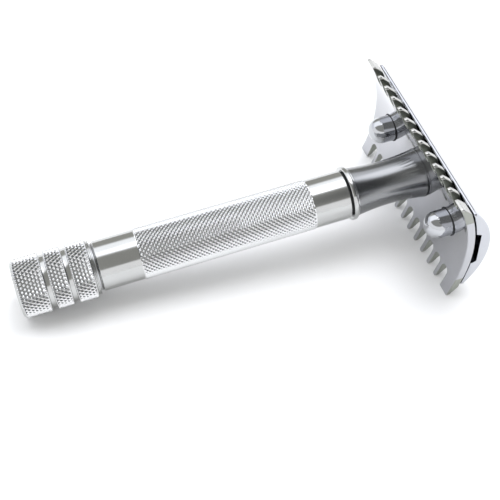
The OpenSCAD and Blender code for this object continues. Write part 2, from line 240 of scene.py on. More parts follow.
class Shell:
    """Grids of points in handle coordinates, which become one closed mesh."""

    def __init__(self):
        self.points, self.faces, self.finishes, self.count = [], [], [], 0

    def add_points(self, s, y, u):
        """Adds a grid's points and returns the number of its first one."""
        points = place(s, y, u).reshape(-1, 3)
        self.points.append(points)
        first = self.count
        self.count += len(points)
        return first

    def add_faces(self, faces, finish=0):
        self.faces.append(faces)
        self.finishes.append(np.resize(finish, len(faces)))

    def grid(self, s, y, u, wrap=False, finish=0, skip=None):
        """Adds a grid of quads. wrap joins the last column to the first; skip leaves cells out.
        finish is one number, or one for each column of quads."""
        s, y, u = np.broadcast_arrays(s, y, u)
        rows, columns = s.shape
        first = self.add_points(s, y, u)
        faces = grid_quads(rows, columns, wrap)
        if skip is not None:
            faces = faces[~skip.reshape(-1)]
        self.add_faces(first + faces, finish)

    def mesh(self, name, outwards=True):
        """One mesh of all grids: equal points become one and faces without area are dropped."""
        points, faces = np.concatenate(self.points), np.concatenate(self.faces)
        finishes = np.concatenate(self.finishes)
        _, first, same = np.unique(np.round(points / WELD), axis=0, return_index=True,
                                   return_inverse=True)
        points, faces = points[first], same.reshape(-1)[faces]
        distinct = faces != np.roll(faces, -1, axis=1)
        whole = distinct.sum(1) >= 3
        distinct, faces, finishes = distinct[whole], faces[whole], finishes[whole]
        sizes = distinct.sum(1)
        corners = faces[distinct]
        mesh = bpy.data.meshes.new(name)
        mesh.vertices.add(len(points))
        mesh.vertices.foreach_set("co", points.astype(np.float32).reshape(-1))
        mesh.loops.add(len(corners))
        mesh.loops.foreach_set("vertex_index", corners.astype(np.int32))
        mesh.polygons.add(len(sizes))
        mesh.polygons.foreach_set("loop_start", (np.cumsum(sizes) - sizes).astype(np.int32))
        mesh.polygons.foreach_set("material_index", finishes.astype(np.int32))
        mesh.update(calc_edges=True)
        mesh.validate()
        if outwards:
            turn_outwards(mesh)
        return mesh


def grid_quads(rows, columns, wrap=False):
    """Corner numbers of the quads in a grid whose points are numbered row by row."""
    row = np.arange(rows - 1)[:, None] * columns
    column = np.arange(columns if wrap else columns - 1)[None, :]
    beside = (column + 1) % columns
    quads = [row + column, row + beside, row + columns + beside, row + columns + column]
    return np.stack(quads, -1).reshape(-1, 4)


def turn_outwards(mesh):
    """Makes every face of a closed mesh point outwards."""
    work = bmesh.new()
    work.from_mesh(mesh)
    bmesh.ops.recalc_face_normals(work, faces=work.faces)
    if work.calc_volume(signed=True) < 0:
        bmesh.ops.reverse_faces(work, faces=work.faces)
    work.to_mesh(mesh)
    work.free()


def finish_piece(mesh, materials, body, slot, *replaced, smooth_below=SMOOTH_BELOW):
    """Links a mesh as a piece that rides on a body and stands for CAD nodes. Flats stay flat in
    shading, because each vertex's normal follows the larger faces next to it."""
    mesh.polygons.foreach_set("use_smooth", np.ones(len(mesh.polygons), bool))
    mesh.set_sharp_from_angle(angle=smooth_below)
    for material in materials:
        mesh.materials.append(material)
    piece = bpy.data.objects.new(mesh.name, mesh)
    bpy.context.scene.collection.objects.link(piece)
    even = piece.modifiers.new("even_normals", "WEIGHTED_NORMAL")
    even.mode = "FACE_AREA"
    even.keep_sharp = True
    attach(piece, body)
    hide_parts(*replaced)
    return piece


def rounded(corners, segments=4):
    """Points of a profile whose corners are replaced by arcs. Each corner is (station, radius,
    rounding); an arc touches both straight sides, and its points are spread evenly by angle."""
    points = np.array([corner[:2] for corner in corners], float)
    out = []
    for i, corner in enumerate(corners):
        if corner[2] <= 0 or i in (0, len(corners) - 1):
            out.append(points[i][None])
            continue
        back, on = points[i - 1] - points[i], points[i + 1] - points[i]
        back, on = back / np.linalg.norm(back), on / np.linalg.norm(on)
        half = math.acos(float(np.clip(back @ on, -1, 1))) / 2
        centre = points[i] + (back + on) / np.linalg.norm(back + on) * corner[2] / math.sin(half)
        start = points[i] + back * corner[2] / math.tan(half) - centre
        end = points[i] + on * corner[2] / math.tan(half) - centre
        sweep = np.linspace(0, 1, segments + 1)[:, None]
        turn = math.pi - 2 * half
        out.append(centre + (np.sin((1 - sweep) * turn) * start + np.sin(sweep * turn) * end)
                   / math.sin(turn))
    return np.concatenate(out)


def turned(shell, profile, columns=128, centre=0.0, finish=0):
    """Carries a profile of (station, radius) points round an axis along the handle."""
    angle = np.linspace(0, 2 * math.pi, columns, endpoint=False)[None, :]
    s, r = profile[:, :1], profile[:, 1:]
    shell.grid(s + 0 * angle, centre + r * np.cos(angle), r * np.sin(angle), True, finish)


def closed_profile(*parts):
    """Joins profile parts end to end and repeats the first point last."""
    points = np.concatenate(parts)
    return np.concatenate([points, points[:1]])


def diamond(turn, travel):
    """Height of a diamond knurl, from 0 in its grooves to 1 on its crests. Straight grooves run
    where turn + travel or turn - travel is whole. The height rises evenly with the distance from
    the nearer groove, and is cut off just below the point."""
    rising = np.abs((turn + travel + 0.5) % 1 - 0.5)
    falling = np.abs((turn - travel + 0.5) % 1 - 0.5)
    blunt = 0.4
    return np.minimum(np.minimum(rising, falling) / blunt, 1), rising < falling


def knurled(shell, profile, starts, pitch, per_pitch=8):
    """Carries a profile round the handle's axis with a diamond knurl cut into it. A profile point
    is (station, crest radius, depth of cut, travel along the knurl). Each quad is split along the
    nearer groove, so that grooves and crests are straight edges. Faces with no knurl take the
    second finish."""
    columns = starts * per_pitch
    turn = np.arange(columns)[None, :] / per_pitch
    s, crest, depth, start = (profile[:, i:i + 1] for i in range(4))
    travel = (s - start) / pitch
    height, _ = diamond(turn, travel)
    r = crest - depth * (1 - height)
    angle = turn * 2 * math.pi / starts
    first = shell.add_points(s + 0 * angle, r * np.cos(angle), r * np.sin(angle))
    quads = grid_quads(len(profile), columns, True)
    middle_turn = turn + 0.5 / per_pitch
    middle_travel = (travel[:-1] + travel[1:]) / 2
    _, rising = diamond(middle_turn, middle_travel)
    rising = rising.reshape(-1)
    a, b, c, d = quads.T
    near = np.where(rising[:, None], np.stack([a, b, d, d], 1), np.stack([a, b, c, c], 1))
    far = np.where(rising[:, None], np.stack([b, c, d, d], 1), np.stack([a, c, d, d], 1))
    flat = (depth[:-1, 0] + depth[1:, 0] == 0).repeat(columns)
    shell.add_faces(first + np.where(flat[:, None], quads, near), flat)
    shell.add_faces(first + far[~flat])


def plain_rows(profile):
    """Profile points without a knurl, as knurled() takes them."""
    return np.column_stack([profile, np.zeros((len(profile), 2))])


def knurl_rows(start, end, foot, crest, depth, pitch, fade, per_pitch=8):
    """Profile points of one knurled band: eight to a pitch, and cut less deep at both ends."""
    steps = max(2, round((end - start) / pitch * per_pitch))
    s = np.linspace(start, end, steps + 1)
    inside = np.clip(np.minimum(s - start, end - s) / fade, 0, 1)
    r = foot + (crest - foot) * inside
    return np.column_stack([s, r, depth * inside, np.full(len(s), start)])


# ---------------------------------------------------------------- metal finishes

def node(tree, kind, **values):
    """Adds a shader node and sets its properties and named inputs."""
    made = tree.nodes.new(kind)
    for name, value in values.items():
        if hasattr(made, name):
            setattr(made, name, value)
        else:
            made.inputs[name.replace("_", " ")].default_value = value
    return made


def along_handle(tree, scale):
    """Object coordinates, turned so that X runs along the handle, and scaled on each axis."""
    coordinates = node(tree, "ShaderNodeTexCoord")
    turn = node(tree, "ShaderNodeMapping", vector_type="POINT")
    turn.inputs["Rotation"].default_value = (0, math.atan2(ALONG[2], ALONG[0]), 0)
    stretch = node(tree, "ShaderNodeMapping", vector_type="POINT")
    stretch.inputs["Scale"].default_value = scale
    tree.links.new(coordinates.outputs["Object"], turn.inputs["Vector"])
    tree.links.new(turn.outputs["Vector"], stretch.inputs["Vector"])
    return stretch.outputs["Vector"]


def noise(tree, scale, detail=3.0, roughness=0.55):
    """Noise of size 1 in coordinates along the handle that are scaled per metre."""
    made = node(tree, "ShaderNodeTexNoise", Scale=1.0, Detail=detail)
    made.inputs["Roughness"].default_value = roughness
    tree.links.new(along_handle(tree, scale), made.inputs["Vector"])
    return made.outputs["Fac"]


def spread(tree, value, low, high, floor=0.3, top=0.7):
    """Maps noise from between floor and top to between low and high."""
    made = node(tree, "ShaderNodeMapRange")
    for name, number in (("From Min", floor), ("From Max", top), ("To Min", low), ("To Max", high)):
        made.inputs[name].default_value = number
    tree.links.new(value, made.inputs["Value"])
    return made.outputs["Result"]


def metal(name, colour, roughness, smudge=0.03, lines=0.0, haze=0.04):
    """Plated or turned metal. Broad noise varies its tone and roughness as handling marks do, fine
    noise gives it a faint polish grain, and lines across the handle give it turning marks."""
    material = bpy.data.materials.new(name)
    material.use_nodes = True
    tree = material.node_tree
    shader = tree.nodes["Principled BSDF"]
    shader.inputs["Metallic"].default_value = 1.0
    broad = noise(tree, HANDLING, 4)
    tone = node(tree, "ShaderNodeMix", data_type="RGBA")
    tone.inputs["A"].default_value = (*[c * (1 - haze) for c in colour], 1)
    tone.inputs["B"].default_value = (*colour, 1)
    tree.links.new(spread(tree, broad, 0, 1), tone.inputs["Factor"])
    tree.links.new(tone.outputs["Result"], shader.inputs["Base Color"])
    marks = noise(tree, SMEARS, 2)
    worn = node(tree, "ShaderNodeMath", operation="ADD")
    tree.links.new(spread(tree, broad, roughness, roughness + smudge), worn.inputs[0])
    tree.links.new(spread(tree, marks, 0, smudge / 2), worn.inputs[1])
    tree.links.new(worn.outputs[0], shader.inputs["Roughness"])
    grain = noise(tree, TURNING if lines else POLISH, 2)
    bump = node(tree, "ShaderNodeBump", Strength=lines or 0.05)
    bump.inputs["Distance"].default_value = 0.02 * MM
    tree.links.new(grain, bump.inputs["Height"])
    tree.links.new(bump.outputs["Normal"], shader.inputs["Normal"])
    return material


def painted_shade_metal():
    """Painted shade for seams, gaps and grooves: a near-black, slightly uneven tone that stands in for
    the shade there.
    """
    made = metal("seam_black", razor().finishes.painted_shade_tint, 0.45, 0.2, 0.0, haze=0.5)
    made.node_tree.nodes["Principled BSDF"].inputs["Metallic"].default_value = 0.3
    return made


def finishes():
    """The metal finishes, made once and kept by name."""
    tones = razor().finishes
    mirror = tones.mirror_roughness
    makers = {
        "mirror_chrome": lambda n: metal(n, tones.mirror_tint, mirror, 0.03),
        "cap_chrome": lambda n: metal(n, tones.cap_tint, mirror + 0.03, 0.04),
        "neck_chrome": lambda n: metal(n, tones.neck_tint, tones.neck_roughness, 0.05, 0.12),
        "grip_chrome": lambda n: metal(n, tones.grip_tint, tones.grip_roughness, 0.06),
        "plain_chrome": lambda n: metal(n, tones.plain_tint, mirror + 0.04, 0.05, 0.08),
        "ground_bevel": lambda n: metal(n, tones.bevel_tint, 0.2, 0.08, haze=0.12),
        # slot walls: rougher chrome, with a darker tint that is painted shade in the narrow slots
        "slot_chrome": lambda n: metal(n, tones.slot_shade_tint, 0.3, 0.05),
        "sleeve_chrome": lambda n: metal(n, tones.sleeve_tint, mirror, 0.03),
        # painted shade: black finish for the shaded seams, gaps and grooves
        "seam_black": lambda n: painted_shade_metal(),
        "turned_steel": lambda n: metal(n, tones.steel_tint, 0.26, 0.08, 0.5),
        "turned_brass": lambda n: metal(n, tones.brass_tint, 0.28, 0.1, 0.5),
    }
    return {n: bpy.data.materials.get(n) or make(n) for n, make in makers.items()}


def razor():
    """The settings that this add-on keeps on the scene."""
    return bpy.context.scene.razor


# ---------------------------------------------------------------- comb plate

def plate_arcs():
    """Centre station of the head's arcs, and the plate's inner and outer radius."""
    head = razor().head
    outer = head.plate_radius + head.plate_thickness
    return span("base_plate")[1] - outer, head.plate_radius, outer


def plate_under(z):
    """Station of the comb plate's hollow underside, an arc round the blade's direction."""
    centre, inner, _ = plate_arcs()
    return centre + np.sqrt(inner ** 2 - z ** 2)


def plate_top(z):
    """Station of the comb plate's top: an arc, cut off by a straight bevel behind the tips."""
    head = razor().head
    centre, _, outer = plate_arcs()
    half = comb_half()
    z = np.abs(z)
    start = half - head.tip_bevel
    high = centre + math.sqrt(outer ** 2 - start ** 2)
    low = float(plate_under(np.array(half))) + head.tip_thickness
    bevel = high + (low - high) * (z - start) / head.tip_bevel
    return np.where(z > start, bevel, centre + np.sqrt(outer ** 2 - np.minimum(z, half) ** 2))


def comb_half():
    """Half width of the comb plate over both rows of tips."""
    return float(np.abs(handle_points("base_plate")[2]).max())


def tooth_edges(left, right, inset):
    """Outline of one tooth as rows of (height, left place, right place), from its root to its tip.
    A side is (place, kind): at a slot it follows the slot's middle, then the round root as an arc,
    then the straight flank; at an end it is the plate's straight end. Arcs round the tip's
    corners. inset draws the whole outline in by that much."""
    head = razor().head
    half = comb_half()
    root_r = head.slot_width / 2 + inset
    outer = "end" in (left[1], right[1])
    tip_r = head.corner_round if outer else head.tooth_round
    root_z = half - head.slot_depth + head.slot_width / 2
    bevel_z = half - head.tip_bevel
    foot = central_half()
    arc = np.radians(np.linspace(0, 90, 9))
    low = np.linspace(foot, root_z - root_r, 3)[:-1]
    flank = np.concatenate([np.linspace(root_z, bevel_z, 4)[1:],
                            np.linspace(bevel_z, half - tip_r, 4)[1:]])
    small = tip_r - inset
    turn = np.radians(np.linspace(0, 90, 7))[1:]
    z = np.concatenate([low, root_z - root_r * np.cos(arc), flank,
                        half - tip_r + small * np.sin(turn)])
    tips = tip_r - small * np.cos(turn)
    at_slot = np.concatenate([0 * low, root_r * np.sin(arc), root_r + 0 * flank,
                              head.slot_width / 2 + tips])
    at_end = np.concatenate([inset + 0 * low, inset + 0 * arc, inset + 0 * flank, tips])
    offset = {"slot": at_slot, "end": at_end}
    return z, left[0] + offset[left[1]], right[0] - offset[right[1]]


def central_half():
    """Half width of the plate's middle field, a little inside the roots of the slots."""
    head = razor().head
    margin = 0.45 * MM
    return comb_half() - head.slot_depth - margin


def tooth_sides():
    """Left and right side of every tooth of a row, as tooth_edges() takes them."""
    head = razor().head
    count = head.slot_count
    slots = (np.arange(count) - (count - 1) / 2) * head.slot_pitch
    end = float(np.abs(handle_points("base_plate")[1]).max())
    marks = [(-end, "end"), *[(slot, "slot") for slot in slots], (end, "end")]
    return list(zip(marks[:-1], marks[1:]))


def across(left, right):
    """Points spread evenly from left to right in each row."""
    share = np.linspace(0, 1, CELLS + 1)
    return left[:, None] + (right - left)[:, None] * share


def edge_steps(edge, segments=4):
    """Insets and drops of a quarter round: the sine and cosine of evenly spread angles."""
    angle = np.radians(np.linspace(0, 90, segments + 1))
    return edge * (1 - np.sin(angle)), edge * (1 - np.cos(angle))


def tooth_path(left, right, inset):
    """Places and heights along the free outline of a tooth, from side to side round its tip."""
    z, y_left, y_right = tooth_edges(left, right, inset)
    start = {"slot": 2, "end": 0}
    l, r = start[left[1]], start[right[1]]
    tip = across(y_left[-1:], y_right[-1:])[0]
    y = np.concatenate([y_left[l:-1], tip, y_right[r:-1][::-1]])
    return y, np.concatenate([z[l:-1], np.full(len(tip), z[-1]), z[r:-1][::-1]])


def rim(shell, path, edge, ground_from=None):
    """Carries a rounded edge profile along an outline: round on top, straight wall, round below.
    Walls higher than ground_from have the ground finish and the others the slots' darker finish,
    which is painted shade in the slots. Without it they all have the plate's."""
    insets, drops = edge_steps(edge)
    rows = [(i, d, plate_top, -1) for i, d in zip(insets, drops)]
    rows += [(i, d, plate_under, 1) for i, d in zip(insets[::-1], drops[::-1])]
    y, z, s = [], [], []
    for inset, drop, surface, way in rows:
        row_y, row_z = path(inset)
        y.append(row_y)
        z.append(row_z)
        s.append(surface(row_z) + way * drop)
    finish = 0
    if ground_from:
        finish = np.where(np.abs(z[0][:-1] + z[0][1:]) / 2 > ground_from, 1, 2)
    shell.grid(np.array(s), np.array(y), np.array(z), finish=finish)


def hole_field(shell, window, centre, hole_r, surface):
    """Fills the window round a hole with rings that go over from the window's outline to the
    circle by even steps, and returns the circle."""
    y, z = window
    reach = np.hypot(y - centre, z)
    share = np.linspace(0, 1, 6)[:, None]
    ring_y = y + (centre + (y - centre) * hole_r / reach - y) * share
    ring_z = z + (z * hole_r / reach - z) * share
    shell.grid(surface(ring_z), ring_y, ring_z, True)
    return ring_y[-1], ring_z[-1]


def make_plate():
    """Comb plate: a field of grids on both faces, a grid for each tooth and rounded rims. Each
    face is an arc round the blade's direction, station = centre + sqrt(radius^2 - height^2). The
    bevels have the ground finish, and the teeth's tops under the cap's edge are painted shade:
    the black seam finish stands in for the cap's shadow there."""
    head = razor().head
    shell = Shell()
    edge = head.plate_edge
    sides = tooth_sides()
    for way in SIDES:
        for left, right in sides:
            z, y_left, y_right = tooth_edges(left, right, edge)
            y = across(y_left, y_right)
            z = z[:, None] + 0 * y
            shell.grid(plate_under(z), y, way * z)
            ground = int(np.abs(z[:, 0] - comb_half() + head.tip_bevel).argmin())
            # finish 3 is painted shade: the black seam finish on the tooth tops up to the bevel stands
            # in for the cap's shadow
            for part, finish in ((slice(0, ground + 1), 3), (slice(ground, None), 1)):
                shell.grid(plate_top(z[part]), y[part], way * z[part], finish=finish)
            rim(shell, lambda inset: tooth_path_at(left, right, inset, way), edge,
                comb_half() - head.tooth_round)
    row_height = 0.5 * MM
    rows = 2 * round(central_half() / row_height)
    z = np.linspace(-central_half(), central_half(), rows + 1)
    y = np.unique(np.round(np.concatenate(
        [across(*tooth_edges(l, r, edge)[1:])[0] for l, r in sides]) / WELD)) * WELD
    for end in SIDES:
        rim(shell, lambda inset: (np.full(len(z), end * (abs(y).max() + edge - inset)), z), edge)
    plate_field(shell, y, z)
    return shell.mesh("comb_plate")


def tooth_path_at(left, right, inset, way):
    """Outline of a tooth in the upper (way 1) or lower (way -1) row."""
    y, z = tooth_path(left, right, inset)
    return y, way * z


def plate_field(shell, y, z):
    """Middle field of the plate's two faces, with windows round its three holes, and the holes'
    stepped walls."""
    head = razor().head
    pin_window, neck_window = 3.6 * MM, 5.6 * MM
    seat_r = pin_bore() + head.sleeve_wall + head.bead_out + FIT
    seat_s = span("pin_sleeve_left")[1]
    holes = [(centre, pin_window, pin_bore(), seat_r, seat_s) for centre in pin_places()]
    holes.append((0.0, neck_window, head.spout_seat_radius, head.neck_seat_radius,
                  neck_stations()["foot"]))
    break_edge = 0.1 * MM
    skip = np.zeros((len(z) - 1, len(y) - 1), bool)
    for centre, half, bore, seat, seat_s in holes:
        a, b = (int(np.abs(y - centre - side * half).argmin()) for side in SIDES)
        c, d = (int(np.abs(z - side * half).argmin()) for side in SIDES)
        skip[c:d, a:b] = True
        window = window_outline(y[a:b + 1], z[c:d + 1])
        top = hole_field(shell, window, centre, bore + break_edge, plate_top)
        under = hole_field(shell, window, centre, seat, plate_under)
        lower = (centre + (top[0] - centre) * bore / (bore + break_edge),
                 top[1] * bore / (bore + break_edge))
        shell.grid(np.array([plate_top(top[1]), plate_top(top[1]) - break_edge,
                             np.full(len(top[1]), seat_s), np.full(len(top[1]), seat_s),
                             plate_under(under[1])]),
                   np.array([top[0], lower[0], lower[0], under[0], under[0]]),
                   np.array([top[1], lower[1], lower[1], under[1], under[1]]), True)
    yy, zz = np.meshgrid(y, z)
    for surface in (plate_top, plate_under):
        shell.grid(surface(zz), yy, zz, skip=skip)


def window_outline(y, z):
    """Points round a window, in order."""
    return (np.concatenate([y[:-1], np.full(len(z) - 1, y[-1]), y[:0:-1], np.full(len(z) - 1, y[0])]),
            np.concatenate([np.full(len(y) - 1, z[0]), z[:-1], np.full(len(y) - 1, z[-1]), z[:0:-1]]))


def pin_places():
    """Places of the right and left guide pin along the blade."""
    return tuple(float(handle_points(n)[1].mean()) for n in ("guide_pin_right", "guide_pin_left"))


def pin_bore():
    """Radius of the bores for the guide pins."""
    return radius("guide_pin_left", pin_places()[1]) + PIN_PLAY


# ---------------------------------------------------------------- cap

def cap_path(shrink, ledge, notched):
    """Section of the cap, drawn in by shrink: stations and heights of its upper and its lower
    outline, which start and end together on the edge faces. The dome is an arc over the width of
    the cap, the underside an arc about the plate's centre, and a notched section has a slanted
    flat recess in its middle. The edge faces are split where their painted shade, a dark band at
    their foot, ends."""
    head = razor().head
    shaded_share, ledge_share = 0.3, 1.3
    centre, _, outer = plate_arcs()
    crown = span("top_cap")[1]
    half = float(np.abs(handle_points("top_cap")[2]).max()) - shrink
    seat = outer + head.blade_gap + shrink
    edge_foot = centre + math.sqrt(seat ** 2 - half ** 2)
    edge_top = centre + math.sqrt((outer + head.blade_gap) ** 2 - (half + shrink) ** 2) + head.cap_edge
    rise = crown - edge_top
    full = half + shrink
    dome_r = (rise ** 2 + full ** 2) / (2 * rise) - shrink
    dome_centre = crown - shrink - dome_r
    dome_half = half - ledge
    brow = 0.1 * MM
    angle = math.asin(dome_half / dome_r) * np.linspace(-1, 1, 61)
    z_dome, s_dome = dome_r * np.sin(angle), dome_centre + dome_r * np.cos(angle)
    middle = edge_foot + head.cap_edge * shaded_share
    lift = np.minimum(edge_top - shrink / 2, s_dome[0] - ledge * ledge_share)
    z_edge = np.array([half, half, half - brow * 0.3, dome_half])
    s_edge = np.array([middle, lift - brow * 0.3, lift, lift + brow * 0.1])
    z_up = np.concatenate([-z_edge, z_dome, z_edge[::-1]])
    s_up = np.concatenate([s_edge, s_dome, s_edge[::-1]])
    notch = head.notch_width / 2
    flare = head.notch_height / 2
    inner = np.linspace(-notch, notch, 17)
    low = np.linspace(notch + flare, half - brow, 25)
    z_low = np.concatenate([[-half, -half], -low[::-1], inner, low, [half, half]])
    s_low = centre + np.sqrt(seat ** 2 - z_low ** 2)
    s_low[[0, -1]] = middle
    s_low[[1, -2]] += brow
    if notched:
        s_low[np.abs(z_low) < notch + flare / 2] = centre + outer + head.blade_gap + head.notch_height
    return s_up, z_up, s_low, z_low


def make_cap():
    """Cap: its section carried along the blade, and drawn in along a quarter round at both ends.
    The wall of the ledge and the foot of the edge faces are painted shade: the black seam finish
    stands in for the shadow at the ledge and in the gap under the cap."""
    head = razor().head
    end = float(np.abs(handle_points("top_cap")[1]).max())
    ledge_at = end - head.cap_round - head.cap_ledge_end
    run_out = 0.25 * MM
    insets, drops = edge_steps(head.cap_round, 5)
    half = [(end - drop, inset, 0.0, True) for inset, drop in zip(insets, drops)]
    half += [(ledge_at + run_out, 0.0, 0.0, True), (ledge_at, 0.0, head.cap_ledge, True),
             (end - head.notch_length, 0.0, head.cap_ledge, True),
             (end - head.notch_length, 0.0, head.cap_ledge, False),
             (0.0, 0.0, head.cap_ledge, False)]
    rows = half + [(-y, *rest) for y, *rest in half[-2::-1]]
    sections = [cap_path(shrink, ledge, notched) for _, shrink, ledge, notched in rows]
    y = np.array([row[0] for row in rows])[:, None]
    shell = Shell()
    for s_at in (0, 2):
        s = np.array([section[s_at] for section in sections])
        z = np.array([section[s_at + 1] for section in sections])
        columns = s.shape[1] - 1
        # painted shade: the ledge wall (upper outline) and the foot of the edge faces (lower outline)
        # take the black seam finish
        dark = np.zeros(columns, int)
        seam = 3 if s_at == 0 else 0
        dark[[seam, -1 - seam]] = 1
        shell.grid(s, y + 0 * s, z, finish=np.tile(dark, len(s) - 1))
    for i in (0, -1):
        shell.add_faces(strip_between(shell, sections[i][:2], sections[i][2:], y[i, 0]))
    return shell.mesh("domed_cap")


def strip_between(shell, upper, lower, at):
    """Triangles between two outlines that share their ends, advancing along the one that lags."""
    first_up = shell.add_points(upper[0], at, upper[1])
    first_low = shell.add_points(lower[0], at, lower[1])
    faces = []
    i = j = 0
    while i < len(upper[0]) - 1 or j < len(lower[0]) - 1:
        take_up = j == len(lower[0]) - 1 or (
            i < len(upper[0]) - 1 and upper[1][i + 1] <= lower[1][j + 1])
        if take_up:
            faces.append((first_up + i, first_up + i + 1, first_low + j, first_low + j))
            i += 1
        else:
            faces.append((first_up + i, first_low + j + 1, first_low + j, first_low + j))
            j += 1
    return np.array(faces)


# ---------------------------------------------------------------- sleeves, pins and stud

def sleeve_profile():
    """Outline of a pin sleeve: a round nose and a straight wall, then the bead at its foot."""
    head = razor().head
    tip, foot = span("pin_sleeve_left")
    r = pin_bore() + head.sleeve_wall
    bead = r + head.bead_out
    bead_s = float(plate_under(np.array(0.0))) - head.bead_height
    nose = np.radians(np.linspace(0, 90, 25))
    outer = np.column_stack([tip + r * (1 - np.cos(nose)), r * np.sin(nose)])
    wall = np.array([(bead_s - 0.3 * MM, r), (bead_s, r)])
    bead_part = rounded([(bead_s, r, 0), (bead_s, bead, 0.06 * MM), (foot, bead, 0)])
    return np.concatenate([outer, wall]), bead_part, foot


def make_sleeve(side, name):
    """Sleeve: its outline turned round the guide pin's axis, with a blind bore."""
    head = razor().head
    outer, bead_part, foot = sleeve_profile()
    tip = outer[0, 0]
    bore = pin_bore()
    blind = tip + 2 * head.sleeve_wall
    inner = np.array([(foot, bore), (blind, bore), (blind, 0)])
    shell = Shell()
    centre = pin_places()[side]
    turned(shell, outer, 96, centre)
    # the bead takes the black seam finish: painted shade round the sleeve's foot
    turned(shell, bead_part, 96, centre, finish=1)
    turned(shell, np.concatenate([bead_part[-1:], inner]), 96, centre)
    return shell.mesh(name)


def make_pin(side, name, source):
    """Guide pin: a round bar with a bevelled, slightly rounded end."""
    low, high = span(source)
    centre = pin_places()[side]
    r = radius(source, centre)
    bevel = 0.4 * MM
    profile = rounded([(low, 0, 0), (low, r - bevel, 0.1 * MM), (low + bevel, r, SOFT),
                       (high, r, 0), (high, 0, 0)])
    shell = Shell()
    turned(shell, profile, 72, centre)
    return shell.mesh(name)


def make_stud():
    """Threaded stud: round the axis, radius = crest - depth * groove, where groove is a trapezium
    wave of station / pitch - angle, and fades out at both ends."""
    handle = razor().handle
    low, high = span("cap_stud")
    crest = radius("cap_stud")
    plain, run_out, lead_in = 1.8 * MM, 0.8 * MM, 0.4 * MM
    flank_start, flank, lead_depth, per_turn = 0.15, 0.7, 0.15, 12
    steps = round((high - low) / handle.thread_pitch * per_turn)
    s = np.linspace(low, high, steps + 1)[:, None]
    angle = np.linspace(0, 2 * math.pi, 72, endpoint=False)[None, :]
    wave = np.abs(((s / handle.thread_pitch - angle / (2 * math.pi)) % 1) * 2 - 1)
    groove = np.clip((wave - flank_start) / flank, 0, 1)
    fade = np.clip((high - plain - s) / run_out, 0, 1)
    taper = np.clip((s - low) / lead_in, 0, 1)
    r = (crest - handle.thread_depth * groove * fade) * (1 - lead_depth + lead_depth * taper)
    shell = Shell()
    shell.grid(s + 0 * angle, r * np.cos(angle), r * np.sin(angle), True)
    for row in (0, -1):
        ring = np.stack([0 * r[row], r[row]])
        shell.grid(np.full_like(ring, s[row, 0]), ring * np.cos(angle), ring * np.sin(angle), True)
    return shell.mesh("threaded_stud")


# ---------------------------------------------------------------- neck and barrel

def neck_stations():
    """Stations of the neck, worked out from the CAD nodes on both sides of it."""
    handle = razor().handle
    seat_depth = 0.55 * MM
    under = float(plate_under(np.array(0.0)))
    barrel_end = span("barrel")[1]
    ring = barrel_end + handle.groove_width
    return {"under": under, "lip": under - handle.lip_height, "sweep": ring + handle.ring_height,
            "ring": ring, "barrel": barrel_end, "foot": under + seat_depth,
            "spigot": span("neck")[0], "spout": span("neck")[1]}


def make_neck():
    """Neck: a concave arc between two ends of one radius, with a lip and a seam at the plate, and a
    ring and a groove at the barrel; seam and groove are painted shade in the black seam finish.
    The sweep's radius is waist + R - sqrt(R^2 - distance from the waist^2)."""
    handle = razor().handle
    at = neck_stations()
    columns = 160
    half = (at["lip"] - at["sweep"]) / 2
    depth = handle.sweep_radius - handle.waist_radius
    big = (half ** 2 + depth ** 2) / (2 * depth)
    step = np.linspace(-half, half, 49)
    sweep = np.column_stack([at["sweep"] + half + step,
                             handle.waist_radius + big - np.sqrt(big ** 2 - step ** 2)])
    seam, step_in, shelf = 0.18 * MM, 0.06 * MM, 0.7 * MM
    proud = handle.sweep_radius + step_in
    lip_r, seat_r = handle.sweep_radius + FIT, handle.sweep_radius - FIT
    seam_low, seam_high = at["under"] - seam, at["under"] - FIT / 2
    ring_low = at["ring"] - 0.12 * MM
    shell = Shell()
    ring = rounded([(ring_low, handle.groove_radius, 0), (ring_low, handle.ring_radius, 0.2 * MM),
                    (at["sweep"], handle.ring_radius, 0.3 * MM),
                    (at["sweep"], sweep[0, 1] + FIT, 0.08 * MM), tuple(sweep[1]) + (0,)], 6)
    turned(shell, ring, columns, finish=2)
    turned(shell, sweep[1:], columns)
    lip = rounded([tuple(sweep[-1]) + (0,), (at["lip"] + FIT, handle.sweep_radius - step_in, 0),
                   (at["lip"] + step_in, lip_r, 0.03 * MM), (seam_low, lip_r, 0)])
    turned(shell, lip, columns)
    # painted shade: the black seam finish on the joint at the plate
    under = np.array([(seam_low, lip_r), (seam_low, proud), (seam_high, proud),
                      (seam_high, seat_r), (at["foot"], seat_r)])
    turned(shell, under, columns, finish=1)
    inside = np.array([(at["foot"], seat_r), (at["foot"], handle.spout_radius),
                       (at["spout"], handle.spout_radius), (at["spout"], handle.throat),
                       (at["under"] - shelf, handle.throat), (at["under"] - shelf, handle.neck_bore),
                       (at["spigot"], handle.neck_bore), (at["spigot"], handle.spigot_radius),
                       (at["barrel"], handle.spigot_radius), (at["barrel"], handle.groove_radius)])
    turned(shell, inside, columns)
    # painted shade: the black seam finish in the groove under the ring
    groove = np.array([(at["barrel"], handle.groove_radius), (ring_low, handle.groove_radius)])
    turned(shell, groove, columns, finish=1)
    return shell.mesh("waisted_neck")


